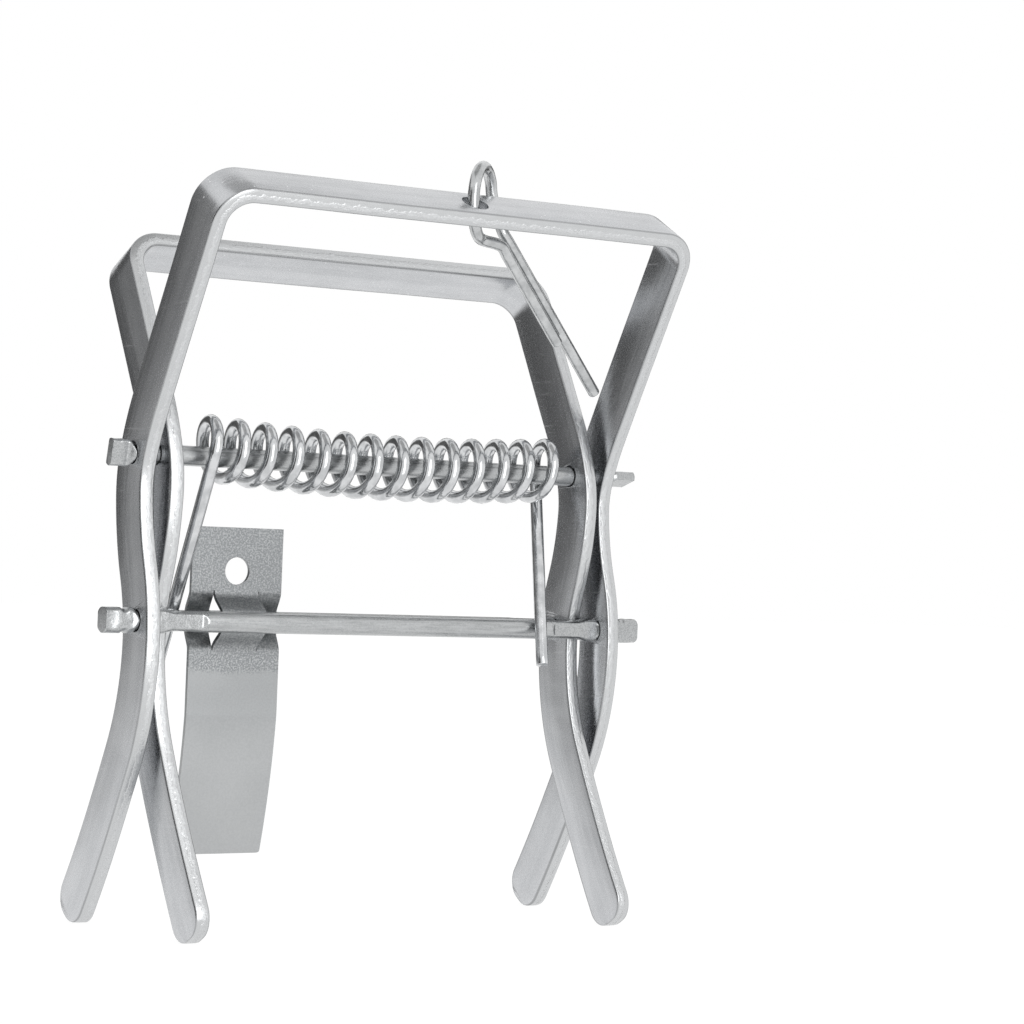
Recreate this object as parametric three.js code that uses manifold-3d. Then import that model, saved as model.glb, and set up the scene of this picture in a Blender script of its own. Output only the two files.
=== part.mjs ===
import * as THREE from "three";
import { mergeVertices } from "three/addons/utils/BufferGeometryUtils.js";
import Module from "manifold-3d";

const wasm = await Module();
wasm.setup();

// Flat bar that both jaws are bent from
const barWidth = 13;
const barThickness = 3.8;
const cornerRadius = 10;
const tipRounding = 5.5;

// Outer jaw, across its legs, and the inner jaw that swings inside it
const outerWidth = 141.8;
const jawSideGap = 2.85;
const innerHandleCut = 14;

// One leg from the top bar down: a straight handle, then bends of so many degrees
const handleLength = 61;
const handleBendTurn = -11.5;
const handleBendRadius = 68;
const pivotBendTurn = -21;
const pivotBendRadius = 27;
const waistBendTurn = -15;
const waistBendRadius = 72;
const rodBendTurn = 20.5;
const rodBendRadius = 53;
const jawBendTurn = 24.5;
const jawBendRadius = 66;
const tipBendRadius = 400;

// Places along the leg, from where the two jaws' legs cross
const crossingBelowHandle = 12;
const pivotBelowCrossing = 1.3;
const rodBelowCrossing = 42.9;
const tipBelowRod = 82.4;

// Pivot rod, which lies low in its holes and a little to the right, with its ends hammered flat
const pivotRodDiameter = 5;
const pivotHoleDiameter = 5.8;
const pivotRodOverhang = 7.5;
const pivotRodShift = 1.4;
const pivotBladeWidth = 6.8;
const pivotBladeThickness = 2.4;
const pivotLeftBladeTilt = 12;
const pivotRightBladeTilt = 72;

// Lower rods of the jaws
const rodDiameter = 5.2;
const rodHoleClearance = 0.3;
const rodOutset = 0.35;
const rodOverhang = 8.9;
const rodHeadHeight = 6.8;
const rodHeadDepth = 4.7;
const crimpHeight = 6.2;
const crimpDepth = 3.8;
const crimpLength = 15;
const crimpInset = 0.5;
const jawStopClearance = 0.3;
const sideClearance = 0.3;

// Torsion spring round the pivot rod, which lifts off it at the ends and hangs in the middle
const springWire = 3.2;
const springMeanRadius = 6.9;
const springTurns = 13;
const springRightInset = 8.45;
const springLeftInset = 11.05;
const springRightLift = 1.4;
const springLeftLift = 2.3;
const springMiddleDrop = 0.3;
const springRightLegIn = 5.5;
const springLeftLegOut = 2.2;
const springLegBelowRod = 10;
const springLegBelowRodLeft = 19;
const springLegClearance = 0.3;

// Trigger plate, hooked on the inner rod
const plateWidth = 26;
const plateThickness = 1;
const plateInset = 10.65;
const plateBehindRod = 1.3;
const plateHeadHeight = 23.5;
const tongueLength = 59;
const tongueCurl = 6;
const strapWidth = 12.6;
const strapReach = 7.5;
const strapKerf = 0.25;
const plateRodClearance = 0.3;
const plateHoleDiameter = 7;
const plateHoleHeight = 12.6;
const plateCornerRadius = 2;

// Catch wire, threaded through the outer jaw's top bar
const catchWire = 3;
const catchHoleDiameter = 7;
const catchHoleOffset = 3.9;
const catchEyeTurn = 37;
const catchEyeRise = 2.5;
const catchEyeHalfHeight = 9.1;
const catchEyeStart = 15;
const catchEyeSweep = 255;
const catchLegOut = 14.4;
const catchLegBack = 7.5;
const catchLegDrop = 3.9;
const catchTipBack = 20.9;
const catchTipDrop = 42.2;
const catchTailLength = 34;
const catchTailSideShares = [-0.56, -0.44, -0.7];
const catchBendReach = 3;
const catchClearance = 0.85;

const overrun = 2;

const degrees = (value) => THREE.MathUtils.degToRad(value);

// Leg path

const bendRun = (turn, radius) => ({ length: radius * Math.abs(degrees(turn)), turn: degrees(turn) });
const crossingAlong = handleLength + crossingBelowHandle;
const rodAlong = crossingAlong + rodBelowCrossing;
const tipAlong = rodAlong + tipBelowRod;
const legRuns = [
  { length: handleLength, turn: 0 },
  bendRun(handleBendTurn, handleBendRadius),
  bendRun(pivotBendTurn, pivotBendRadius),
  bendRun(waistBendTurn, waistBendRadius),
  bendRun(rodBendTurn, rodBendRadius),
  bendRun(jawBendTurn, jawBendRadius),
  { length: tipBendRadius, turn: 1 },
];

// Point of the leg's centre line at a distance along it, in the plane of Y and Z
function rawLegPoint(along) {
  let y = 0;
  let z = 0;
  let heading = 0;
  let left = along;
  for (const run of legRuns) {
    const length = Math.min(left, run.length);
    const turned = heading + (run.turn * length) / run.length;
    if (run.turn === 0) {
      y += length * Math.sin(heading);
      z -= length * Math.cos(heading);
    } else {
      const radius = run.length / run.turn;
      y += radius * (Math.cos(heading) - Math.cos(turned));
      z -= radius * (Math.sin(turned) - Math.sin(heading));
    }
    heading = turned;
    left -= length;
    if (left <= 0) break;
  }
  return { y, z, heading };
}

// The same point with the crossing at the origin and the whole leg leaning
function legPoint(along, lean) {
  const crossing = rawLegPoint(crossingAlong);
  const point = rawLegPoint(along);
  const y = point.y - crossing.y;
  const z = point.z - crossing.z;
  return {
    y: y * Math.cos(lean) - z * Math.sin(lean),
    z: y * Math.sin(lean) + z * Math.cos(lean),
    heading: point.heading + lean,
  };
}

// A point beside the centre line, towards the side that faces down at the tip
function besideLeg(along, lean, offset) {
  const point = legPoint(along, lean);
  return {
    y: point.y - offset * Math.cos(point.heading),
    z: point.z - offset * Math.sin(point.heading),
  };
}

// The legs lean until the outer jaw's rod meets the front edges of the inner jaw
function restLean() {
  const wanted = barWidth / 2 + rodDiameter / 2 + jawStopClearance;
  const steps = 60;
  let lean = 0;
  for (let round = 0; round < steps; round += 1) {
    const rod = besideLeg(rodAlong, lean, rodOutset);
    let nearest = Infinity;
    for (let step = -steps; step <= steps; step += 1) {
      const other = legPoint(rodAlong + (barWidth * step) / steps, lean);
      const side = -other.y - rod.y;
      nearest = Math.min(nearest, Math.hypot(side, other.z - rod.z) * Math.sign(side));
    }
    lean += (nearest - wanted) / (2 * rodBelowCrossing);
  }
  return lean;
}

const lean = restLean();
const leg = (along) => legPoint(along, lean);

// Solids

const toVector = (x, y, z) => new THREE.Vector3(x, y, z);

function signedVolume(geometry) {
  const points = geometry.getAttribute("position");
  const index = geometry.getIndex();
  const [a, b, c] = [new THREE.Vector3(), new THREE.Vector3(), new THREE.Vector3()];
  let volume = 0;
  for (let i = 0; i < index.count; i += 3) {
    a.fromBufferAttribute(points, index.getX(i));
    b.fromBufferAttribute(points, index.getX(i + 1));
    c.fromBufferAttribute(points, index.getX(i + 2));
    volume += a.dot(b.cross(c));
  }
  return volume;
}

function indexedGeometry(positions, faces) {
  const geometry = new THREE.BufferGeometry();
  geometry.setAttribute("position", new THREE.Float32BufferAttribute(positions, 3));
  geometry.setIndex(faces);
  if (signedVolume(geometry) < 0) {
    geometry.setIndex(faces.slice().reverse());
  }
  return geometry;
}

// One closed skin over a row of rings that all have as many points
function skin(rings) {
  const count = rings[0].length;
  const positions = rings.flat().flatMap((point) => [point.x, point.y, point.z]);
  const faces = [];
  for (let row = 0; row + 1 < rings.length; row += 1) {
    for (let i = 0; i < count; i += 1) {
      const next = (i + 1) % count;
      const [a, b] = [row * count + i, row * count + next];
      const [c, d] = [a + count, b + count];
      faces.push(a, b, d, a, d, c);
    }
  }
  const last = (rings.length - 1) * count;
  for (let i = 1; i + 1 < count; i += 1) {
    faces.push(0, i + 1, i, last, last + i, last + i + 1);
  }
  return indexedGeometry(positions, faces);
}

function toManifold(source) {
  const geometry = source.clone();
  geometry.deleteAttribute("normal");
  geometry.deleteAttribute("uv");
  const merged = mergeVertices(geometry);
  return new wasm.Manifold(new wasm.Mesh({
    numProp: 3,
    vertProperties: new Float32Array(merged.getAttribute("position").array),
    triVerts: new Uint32Array(merged.getIndex().array),
  }));
}

function fromManifold(solid) {
  const mesh = solid.getMesh();
  return indexedGeometry(Array.from(mesh.vertProperties), Array.from(mesh.triVerts));
}

function subtractAll(geometry, cutters) {
  let solid = toManifold(geometry);
  for (const cutter of cutters) solid = solid.subtract(toManifold(cutter));
  return fromManifold(solid);
}

const boreSides = 24;

function boreAlongX(diameter, length, y, z) {
  const bore = new THREE.CylinderGeometry(diameter / 2, diameter / 2, length, boreSides);
  bore.rotateZ(Math.PI / 2);
  return bore.translate(0, y, z);
}

// A round wire along a row of points, with its ends cut square or drawn in to a dome
function wire(points, diameter, sides, domed) {
  const radius = diameter / 2;
  const tangents = points.map((point, i) => {
    const before = points[Math.max(i - 1, 0)];
    const after = points[Math.min(i + 1, points.length - 1)];
    return after.clone().sub(before).normalize();
  });
  let across = toVector(0, 1, 0).cross(tangents[0]).normalize();
  const frames = points.map((point, i) => {
    across = across.clone().addScaledVector(tangents[i], -across.dot(tangents[i])).normalize();
    return { point, tangent: tangents[i], across, up: tangents[i].clone().cross(across) };
  });
  const ring = (frame, shift, scale) => Array.from({ length: sides }, (unused, k) => {
    const angle = (2 * Math.PI * k) / sides;
    return frame.point.clone()
      .addScaledVector(frame.tangent, shift)
      .addScaledVector(frame.across, radius * scale * Math.cos(angle))
      .addScaledVector(frame.up, radius * scale * Math.sin(angle));
  });
  const rings = frames.map((frame) => ring(frame, 0, 1));
  if (domed) {
    const [first, last] = [frames[0], frames.at(-1)];
    const domeShares = [0.5, 0.85];
    for (const share of domeShares) {
      const scale = Math.sqrt(1 - share * share);
      rings.unshift(ring(first, -radius * share, scale));
      rings.push(ring(last, radius * share, scale));
    }
  }
  return skin(rings);
}

// Jaw frames

const alongLeg = [];
const degreesPerStep = 3;
let runStart = 0;
for (const run of legRuns) {
  const runEnd = Math.min(runStart + run.length, tipAlong - tipRounding);
  const turned = (Math.abs(run.turn) * (runEnd - runStart)) / run.length;
  const steps = Math.max(1, Math.ceil(turned / degrees(degreesPerStep)));
  if (runEnd > runStart) {
    for (let step = 1; step <= steps; step += 1) {
      alongLeg.push(runStart + ((runEnd - runStart) * step) / steps);
    }
  }
  runStart += run.length;
}

const outerOutside = outerWidth / 2;
const outerInside = outerOutside - barThickness;
const innerOutside = outerInside - jawSideGap;
const innerInside = innerOutside - barThickness;

// Four corners of the bar's section: out and in, then towards the lower and the upper edge
function barSection(centre, outward, lower, lowerExtent) {
  const corner = (thick, wide) => centre.clone()
    .addScaledVector(outward, thick)
    .addScaledVector(lower, wide);
  const half = barThickness / 2;
  return [
    corner(half, lowerExtent),
    corner(half, -barWidth / 2),
    corner(-half, -barWidth / 2),
    corner(-half, lowerExtent),
  ];
}

const lowerSide = (heading) => toVector(0, -Math.cos(heading), -Math.sin(heading));

function legSection(side, x, along, lowerExtent) {
  const point = leg(along);
  const centre = toVector(side * x, point.y, point.z);
  return barSection(centre, toVector(side, 0, 0), lowerSide(point.heading), lowerExtent);
}

function jawSkin(outside, start) {
  const x = outside - barThickness / 2;
  const roundingSteps = 5;
  const cornerSteps = 8;
  const half = barWidth / 2;
  const legRings = (side) => {
    const rings = [];
    for (let step = 0; step < roundingSteps; step += 1) {
      const turned = (Math.PI / 2) * (step / roundingSteps);
      const fromTip = tipRounding * (1 - Math.cos(turned));
      const drawnIn = tipRounding * (1 - Math.sin(turned));
      rings.push(legSection(side, x, tipAlong - fromTip, half - drawnIn));
    }
    const upward = alongLeg.filter((along) => along > start + cornerRadius).reverse();
    for (const along of upward) rings.push(legSection(side, x, along, half));
    return rings;
  };
  const top = leg(start + cornerRadius);
  const upLeg = toVector(0, -Math.sin(top.heading), Math.cos(top.heading));
  const middleRadius = cornerRadius - barThickness / 2;
  const cornerRings = (side) => {
    const rings = [];
    for (let step = 0; step <= cornerSteps; step += 1) {
      const turned = (Math.PI / 2) * (step / cornerSteps);
      const outward = toVector(side * Math.cos(turned), 0, 0).addScaledVector(upLeg, Math.sin(turned));
      const centre = toVector(side * (outside - cornerRadius), top.y, top.z);
      centre.addScaledVector(outward, middleRadius);
      rings.push(barSection(centre, outward, lowerSide(top.heading), half));
    }
    return rings;
  };
  const right = [...legRings(1), ...cornerRings(1)];
  const left = [...legRings(-1), ...cornerRings(-1)].reverse();
  return skin([...right, ...left]);
}

const barMiddle = leg(barThickness / 2);
const rodPlace = besideLeg(rodAlong, lean, rodOutset);
const pivotDrop = (pivotHoleDiameter - pivotRodDiameter) / 2 - rodHoleClearance;
const boreLength = outerWidth + 2 * overrun;

// The hole for the catch wire, square to the top bar
function catchHole() {
  const bore = new THREE.CylinderGeometry(
    catchHoleDiameter / 2, catchHoleDiameter / 2, barThickness + 2 * overrun, boreSides,
  );
  bore.rotateX(Math.PI / 2 + barMiddle.heading);
  return bore.translate(catchHoleOffset, barMiddle.y, barMiddle.z);
}

function outerFrame() {
  return subtractAll(jawSkin(outerOutside, 0), [
    boreAlongX(pivotHoleDiameter, boreLength, 0, pivotDrop - pivotBelowCrossing),
    boreAlongX(rodDiameter + 2 * rodHoleClearance, boreLength, rodPlace.y, rodPlace.z),
    catchHole(),
  ]);
}

function innerFrame() {
  const blank = jawSkin(innerOutside, innerHandleCut);
  const positions = Array.from(blank.getAttribute("position").array);
  const mirrored = positions.map((value, i) => (i % 3 === 1 ? -value : value));
  const geometry = indexedGeometry(mirrored, Array.from(blank.getIndex().array));
  return subtractAll(geometry, [
    boreAlongX(pivotHoleDiameter, boreLength, 0, pivotDrop - pivotBelowCrossing),
    boreAlongX(rodDiameter + 2 * rodHoleClearance, boreLength, -rodPlace.y, rodPlace.z),
  ]);
}

// Rods with hammered ends: rings of an oval section at places along X

const rodSides = 16;

function ovalRod(stations, y, z) {
  const rings = stations.map(([x, depth, height, tilt]) => Array.from({ length: rodSides }, (unused, k) => {
    const angle = (2 * Math.PI * k) / rodSides;
    const point = toVector(0, (depth / 2) * Math.cos(angle), (height / 2) * Math.sin(angle));
    point.applyAxisAngle(toVector(1, 0, 0), tilt ?? 0);
    return toVector(x, y + point.y, z + point.z);
  }));
  return skin(rings);
}

function mirroredStations(half) {
  const left = half.map(([x, depth, height]) => [-x, depth, height]).reverse();
  return [...left, ...half];
}

// Head outside a leg: round up to the leg, flattened beyond it, drawn in at the end
function headStations(face, end, roundSize, depth, height) {
  const span = end - face;
  const flatShare = 0.3;
  const drawnShare = 0.9;
  const endShare = 0.8;
  return [
    [face, roundSize, roundSize],
    [face + span * flatShare, depth, height],
    [face + span * drawnShare, depth, height],
    [end, depth * endShare, height * endShare],
  ];
}

// Flattened stretch inside a leg: a narrow start, then ears, then round into the hole
function crimpStations(legFace) {
  const narrowShare = 0.08;
  const earShare = 0.72;
  const earEndShare = 0.9;
  const start = legFace - crimpInset - crimpLength;
  const narrow = (rodDiameter + crimpDepth) / 2;
  return [
    [start, rodDiameter, rodDiameter],
    [start + crimpLength * narrowShare, narrow, rodDiameter],
    [start + crimpLength * earShare, crimpDepth, crimpHeight],
    [start + crimpLength * earEndShare, crimpDepth, crimpHeight],
    [legFace - crimpInset, rodDiameter, rodDiameter],
  ];
}

function outerRod() {
  const half = [
    ...crimpStations(outerInside),
    ...headStations(
      outerOutside + sideClearance, outerOutside + rodOverhang, rodDiameter, rodHeadDepth, rodHeadHeight,
    ),
  ];
  return ovalRod(mirroredStations(half), rodPlace.y, rodPlace.z);
}

function innerRod() {
  const half = [
    ...crimpStations(innerInside),
    ...headStations(
      innerOutside + sideClearance, outerInside - sideClearance, rodDiameter, rodHeadDepth, rodHeadHeight,
    ),
  ];
  return ovalRod(mirroredStations(half), -rodPlace.y, rodPlace.z);
}

function pivotRod() {
  const blade = (side, tilt) => headStations(
    outerOutside + sideClearance, outerOutside + pivotRodOverhang + side * pivotRodShift,
    pivotRodDiameter, pivotBladeThickness, pivotBladeWidth,
  ).map(([x, depth, height]) => [side * x, depth, height, degrees(tilt)]);
  const left = blade(-1, pivotLeftBladeTilt).reverse();
  return ovalRod([...left, ...blade(1, pivotRightBladeTilt)], 0, -pivotBelowCrossing);
}

// Torsion spring: a left-handed coil from the right end, with a straight leg at each end

const springSides = 5;
const wireSides = 8;
const stepsPerTurn = 8;
const endTurnShare = 0.25;
const springRightEnd = innerInside - springRightInset;
const springPitch = (2 * innerInside - springRightInset - springLeftInset) / springTurns;

// How far the coil's middle line stands above the pivot rod's, from the right end to the left one
function springLift(share) {
  const across = 1 - 2 * share;
  const ends = (springRightLift + springLeftLift) / 2;
  const lean = (springRightLift - springLeftLift) / 2;
  return (ends + springMiddleDrop) * across * across + lean * across - springMiddleDrop;
}

function springPoints() {
  const coil = [];
  const steps = Math.round((springTurns + 2 * endTurnShare) * stepsPerTurn);
  for (let step = 0; step <= steps; step += 1) {
    const turn = step / stepsPerTurn - endTurnShare;
    const angle = 2 * Math.PI * turn;
    coil.push(toVector(
      springRightEnd - springPitch * turn,
      -springMeanRadius * Math.sin(angle),
      springMeanRadius * Math.cos(angle) + springLift(turn / springTurns) - pivotBelowCrossing,
    ));
  }
  const reach = rodDiameter / 2 + springWire / 2 + springLegClearance;
  const rightFoot = {
    x: springRightEnd - springRightLegIn,
    y: rodPlace.y - reach,
    z: rodPlace.z,
  };
  const leftFoot = {
    x: coil.at(-1).x - springLeftLegOut,
    y: -rodPlace.y + reach,
    z: rodPlace.z,
  };
  return { coil, rightFoot, leftFoot };
}

// A leg from the coil's end past the rod that it bears on, with so much left below it
function springLeg(from, foot, below) {
  const start = toVector(from.x, from.y, from.z);
  const end = toVector(foot.x, foot.y, foot.z);
  const direction = end.clone().sub(start).normalize();
  return [end, end.clone().addScaledVector(direction, below)];
}

function torsionSpring() {
  const { coil, rightFoot, leftFoot } = springPoints();
  const right = springLeg(coil[0], rightFoot, springLegBelowRod).reverse();
  const left = springLeg(coil.at(-1), leftFoot, springLegBelowRodLeft);
  const points = [...right, ...coil, ...left];
  const neighbours = Math.round(stepsPerTurn / 2);
  let least = Infinity;
  for (let i = 0; i + 1 < points.length; i += 1) {
    for (let j = i + neighbours; j + 1 < points.length; j += 1) {
      const near = segmentGap(points[i], points[i + 1], points[j], points[j + 1]);
      least = Math.min(least, near - springWire);
    }
  }
  console.log(`torsion spring, least gap to itself ${least.toFixed(2)} mm`);
  return wire(points, springWire, springSides, false);
}

// Least distance between points spread over two segments
function segmentGap(a, b, c, d) {
  const spread = 4;
  let least = Infinity;
  for (let i = 0; i <= spread; i += 1) {
    for (let j = 0; j <= spread; j += 1) {
      const p = a.clone().lerp(b, i / spread);
      const q = c.clone().lerp(d, j / spread);
      least = Math.min(least, p.distanceTo(q));
    }
  }
  return least;
}

// Trigger plate, in the plane of its own sheet until it is placed behind the inner rod's middle

// Middle line of the sheet where it bows out beside the rod
function bowPath(bow) {
  const settleShare = 0.45;
  const bowShare = 0.7;
  const flank = strapReach * settleShare;
  const start = strapReach * (1 - settleShare / 2);
  return [
    toVector(0, 0, strapReach),
    toVector(0, bow * (1 - bowShare), start),
    toVector(0, bow * bowShare, flank),
    toVector(0, bow, 0),
    toVector(0, bow * bowShare, -flank),
    toVector(0, bow * (1 - bowShare), -start),
    toVector(0, 0, -strapReach),
  ];
}

// Middle line of the whole sheet, from its top edge to the end of the tongue
function platePath(bow) {
  const straightShare = 0.4;
  const middleShare = 0.7;
  const curlMiddleShare = 0.42;
  return [
    toVector(0, 0, plateHeadHeight),
    ...bowPath(bow),
    toVector(0, 0, -tongueLength * straightShare),
    toVector(0, tongueCurl * curlMiddleShare, -tongueLength * middleShare),
    toVector(0, tongueCurl, -tongueLength),
  ];
}

function sheetProfile(path) {
  const normals = path.map((point, i) => {
    const before = path[Math.max(i - 1, 0)];
    const after = path[Math.min(i + 1, path.length - 1)];
    const along = after.clone().sub(before).normalize();
    return toVector(0, -along.z, along.y);
  });
  const half = plateThickness / 2;
  const front = path.map((point, i) => point.clone().addScaledVector(normals[i], half));
  const back = path.map((point, i) => point.clone().addScaledVector(normals[i], -half));
  return [...front, ...back.reverse()];
}

// An outline in Y and Z, drawn out along X
function sheetAlongX(path, width) {
  const shape = new THREE.Shape(sheetProfile(path).map((point) => new THREE.Vector2(point.y, point.z)));
  const geometry = new THREE.ExtrudeGeometry(shape, { depth: width, bevelEnabled: false });
  geometry.translate(0, 0, -width / 2);
  const turned = new THREE.Matrix4().makeBasis(toVector(0, 1, 0), toVector(0, 0, 1), toVector(1, 0, 0));
  return geometry.applyMatrix4(turned);
}

// What is left of the sheet once its lower corners are rounded
function plateOutline() {
  const half = plateWidth / 2;
  const depth = 2 * (tongueCurl + rodDiameter + plateThickness + overrun);
  const inner = half - plateCornerRadius;
  const low = plateCornerRadius - tongueLength;
  const down = Math.PI * 1.5;
  const shape = new THREE.Shape();
  shape.moveTo(-half, plateHeadHeight + overrun);
  shape.lineTo(-half, low);
  shape.absarc(-inner, low, plateCornerRadius, Math.PI, down);
  shape.absarc(inner, low, plateCornerRadius, down, 2 * Math.PI);
  shape.lineTo(half, plateHeadHeight + overrun);
  const geometry = new THREE.ExtrudeGeometry(shape, { depth, bevelEnabled: false, curveSegments: 4 });
  return geometry.translate(0, 0, -depth / 2).rotateX(Math.PI / 2);
}

function triggerPlate() {
  const beside = rodDiameter / 2 + plateRodClearance + plateThickness / 2;
  const bandBow = beside - plateBehindRod;
  const strapBow = beside + plateBehindRod;
  const bands = toManifold(sheetAlongX(platePath(bandBow), plateWidth + overrun));
  const slotDepth = 2 * (strapBow + plateThickness + overrun);
  const slot = toManifold(new THREE.BoxGeometry(strapWidth + 2 * strapKerf, slotDepth, 2 * strapReach));
  const strap = toManifold(sheetAlongX(bowPath(-strapBow), strapWidth));
  const hole = new THREE.CylinderGeometry(
    plateHoleDiameter / 2, plateHoleDiameter / 2, plateThickness + 2 * overrun, boreSides,
  ).translate(0, 0, plateHoleHeight);
  let solid = bands.subtract(slot).add(strap);
  solid = solid.intersect(toManifold(plateOutline())).subtract(toManifold(hole));
  const geometry = fromManifold(solid);
  const x = plateInset + plateWidth / 2 - innerInside;
  return geometry.translate(x, plateBehindRod - rodPlace.y, rodPlace.z);
}

// Catch wire: a straight leg, an oval eye through the top bar and a short tail back along the leg

function catchPoints() {
  const hole = toVector(catchHoleOffset, barMiddle.y, barMiddle.z);
  const turned = degrees(catchEyeTurn);
  const behind = barWidth / 2 + catchWire / 2 + catchClearance;
  const eyeBack = (behind - catchEyeRise * Math.sin(barMiddle.heading)) / Math.cos(barMiddle.heading);
  const eyeHalfWidth = eyeBack / Math.sin(turned) / 2;
  const across = toVector(Math.cos(turned), Math.sin(turned), 0);
  const eyeCentre = hole.clone().addScaledVector(across, eyeHalfWidth).add(toVector(0, 0, catchEyeRise));
  const tip = toVector(
    innerInside - sideClearance - catchWire / 2,
    hole.y + catchTipBack,
    hole.z - catchTipDrop,
  );
  const legStart = hole.clone().add(toVector(catchLegOut, catchLegBack, -catchLegDrop));
  const along = tip.clone().sub(legStart).normalize();
  const tailSide = toVector(...catchTailSideShares);
  tailSide.addScaledVector(along, -tailSide.dot(along)).normalize();
  const tailStart = legStart.clone()
    .addScaledVector(along, catchBendReach / 2)
    .addScaledVector(tailSide, catchWire + catchClearance);
  const eyeSteps = 10;
  const eye = Array.from({ length: eyeSteps + 1 }, (unused, i) => {
    const angle = degrees(catchEyeStart + (catchEyeSweep * i) / eyeSteps);
    return eyeCentre.clone()
      .addScaledVector(across, eyeHalfWidth * Math.cos(angle))
      .add(toVector(0, 0, catchEyeHalfHeight * Math.sin(angle)));
  });
  const bend = new THREE.CatmullRomCurve3([
    legStart.clone().addScaledVector(along, catchBendReach),
    legStart,
    ...eye,
    tailStart,
    tailStart.clone().addScaledVector(along, catchBendReach),
  ], false, "centripetal");
  const bendSteps = 40;
  const tailEnd = tailStart.clone().addScaledVector(along, catchTailLength);
  return [tip, ...bend.getPoints(bendSteps), tailEnd];
}

const finishes = {
  bar: { color: 0xb4b6b8, roughness: 0.38, metalness: 1 },
  rod: { color: 0xc2c4c4, roughness: 0.32, metalness: 1 },
  spring: { color: 0xcfd1d2, roughness: 0.18, metalness: 1 },
  plate: { color: 0xaaacae, roughness: 0.42, metalness: 1 },
  catch: { color: 0xc9cbcb, roughness: 0.22, metalness: 1 },
};

const group = new THREE.Group();

function addPiece(name, geometry, finish) {
  const mesh = new THREE.Mesh(geometry, new THREE.MeshStandardMaterial(finish));
  mesh.name = name;
  group.add(mesh);
}

addPiece("outer_frame", outerFrame(), finishes.bar);
addPiece("inner_frame", innerFrame(), finishes.bar);
addPiece("pivot_rod", pivotRod(), finishes.rod);
addPiece("outer_rod", outerRod(), finishes.rod);
addPiece("inner_rod", innerRod(), finishes.rod);
addPiece("torsion_spring", torsionSpring(), finishes.spring);
addPiece("trigger_plate", triggerPlate(), finishes.plate);
addPiece("catch_wire", wire(catchPoints(), catchWire, wireSides, true), finishes.catch);

// The trap stands on the ground at the middle of its outline
const bounds = new THREE.Box3().setFromObject(group);
const middle = bounds.getCenter(new THREE.Vector3());
group.position.set(-middle.x, -middle.y, -bounds.min.z);
group.updateMatrixWorld(true);

export default group;
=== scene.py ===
import math
import bmesh
import bpy
from mathutils import Matrix, Vector, noise


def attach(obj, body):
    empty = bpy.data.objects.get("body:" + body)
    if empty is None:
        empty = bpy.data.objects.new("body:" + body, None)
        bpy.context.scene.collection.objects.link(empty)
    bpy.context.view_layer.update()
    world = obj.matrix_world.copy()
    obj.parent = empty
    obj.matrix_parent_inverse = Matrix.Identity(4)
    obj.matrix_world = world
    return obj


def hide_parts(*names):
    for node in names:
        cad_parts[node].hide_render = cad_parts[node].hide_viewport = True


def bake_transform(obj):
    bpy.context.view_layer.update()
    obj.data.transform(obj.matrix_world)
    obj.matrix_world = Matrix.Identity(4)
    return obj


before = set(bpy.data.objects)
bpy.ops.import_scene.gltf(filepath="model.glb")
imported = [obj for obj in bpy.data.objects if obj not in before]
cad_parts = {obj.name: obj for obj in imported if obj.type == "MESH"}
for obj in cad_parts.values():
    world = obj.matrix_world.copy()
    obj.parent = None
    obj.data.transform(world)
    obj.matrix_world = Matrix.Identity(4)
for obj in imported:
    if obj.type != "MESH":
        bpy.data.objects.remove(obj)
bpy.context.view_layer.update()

# Lengths in the dictionaries are millimetres and angles are degrees
mm = 0.001
near = 0.01  # two places nearer than this count as one
mergeWithin = 0.001
slack = 0.3  # between pieces that pass each other
drillSides = 64
softBelow = {"bar": 35, "rod": 32, "wire": 40, "sheet": 40}  # edges that turn by less are shaded smooth
noise.seed_set(1)  # or the jaws' waviness would differ from run to run

sideways = Vector((1, 0, 0))
deep = Vector((0, 1, 0))
upright = Vector((0, 0, 1))
zero = Vector((0, 0, 0))
crossing = Vector((0, 3.3733, 118.4445)) * mm  # where the middle lines of the jaws' legs cross
pivotDrop = 1.3
pivot = crossing - upright * pivotDrop * mm  # the pivot rod lies a little lower


# Shader maths

class Signal:  # a node's output, with Python's operators on it
    def __init__(self, finish, socket):
        self.finish = finish
        self.socket = socket

    def math(self, operation, *values):
        return self.finish.node("Math", {"operation": operation}, dict(enumerate(values)))

    def __add__(self, other):
        return self.math("ADD", self, other)

    def __radd__(self, other):
        return self.math("ADD", other, self)

    def __sub__(self, other):
        return self.math("SUBTRACT", self, other)

    def __rsub__(self, other):
        return self.math("SUBTRACT", other, self)

    def __mul__(self, other):
        return self.math("MULTIPLY", self, other)

    def __rmul__(self, other):
        return self.math("MULTIPLY", other, self)

    def __abs__(self):
        return self.math("ABSOLUTE", self)

    def most(self, other):
        return self.math("MAXIMUM", self, other)

    def ramp(self, low, high):  # 0 below low, 1 above high, smooth between
        return self.finish.node("MapRange", {"interpolation_type": "SMOOTHSTEP"},
                                {"Value": self, "From Min": low, "From Max": high})


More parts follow.
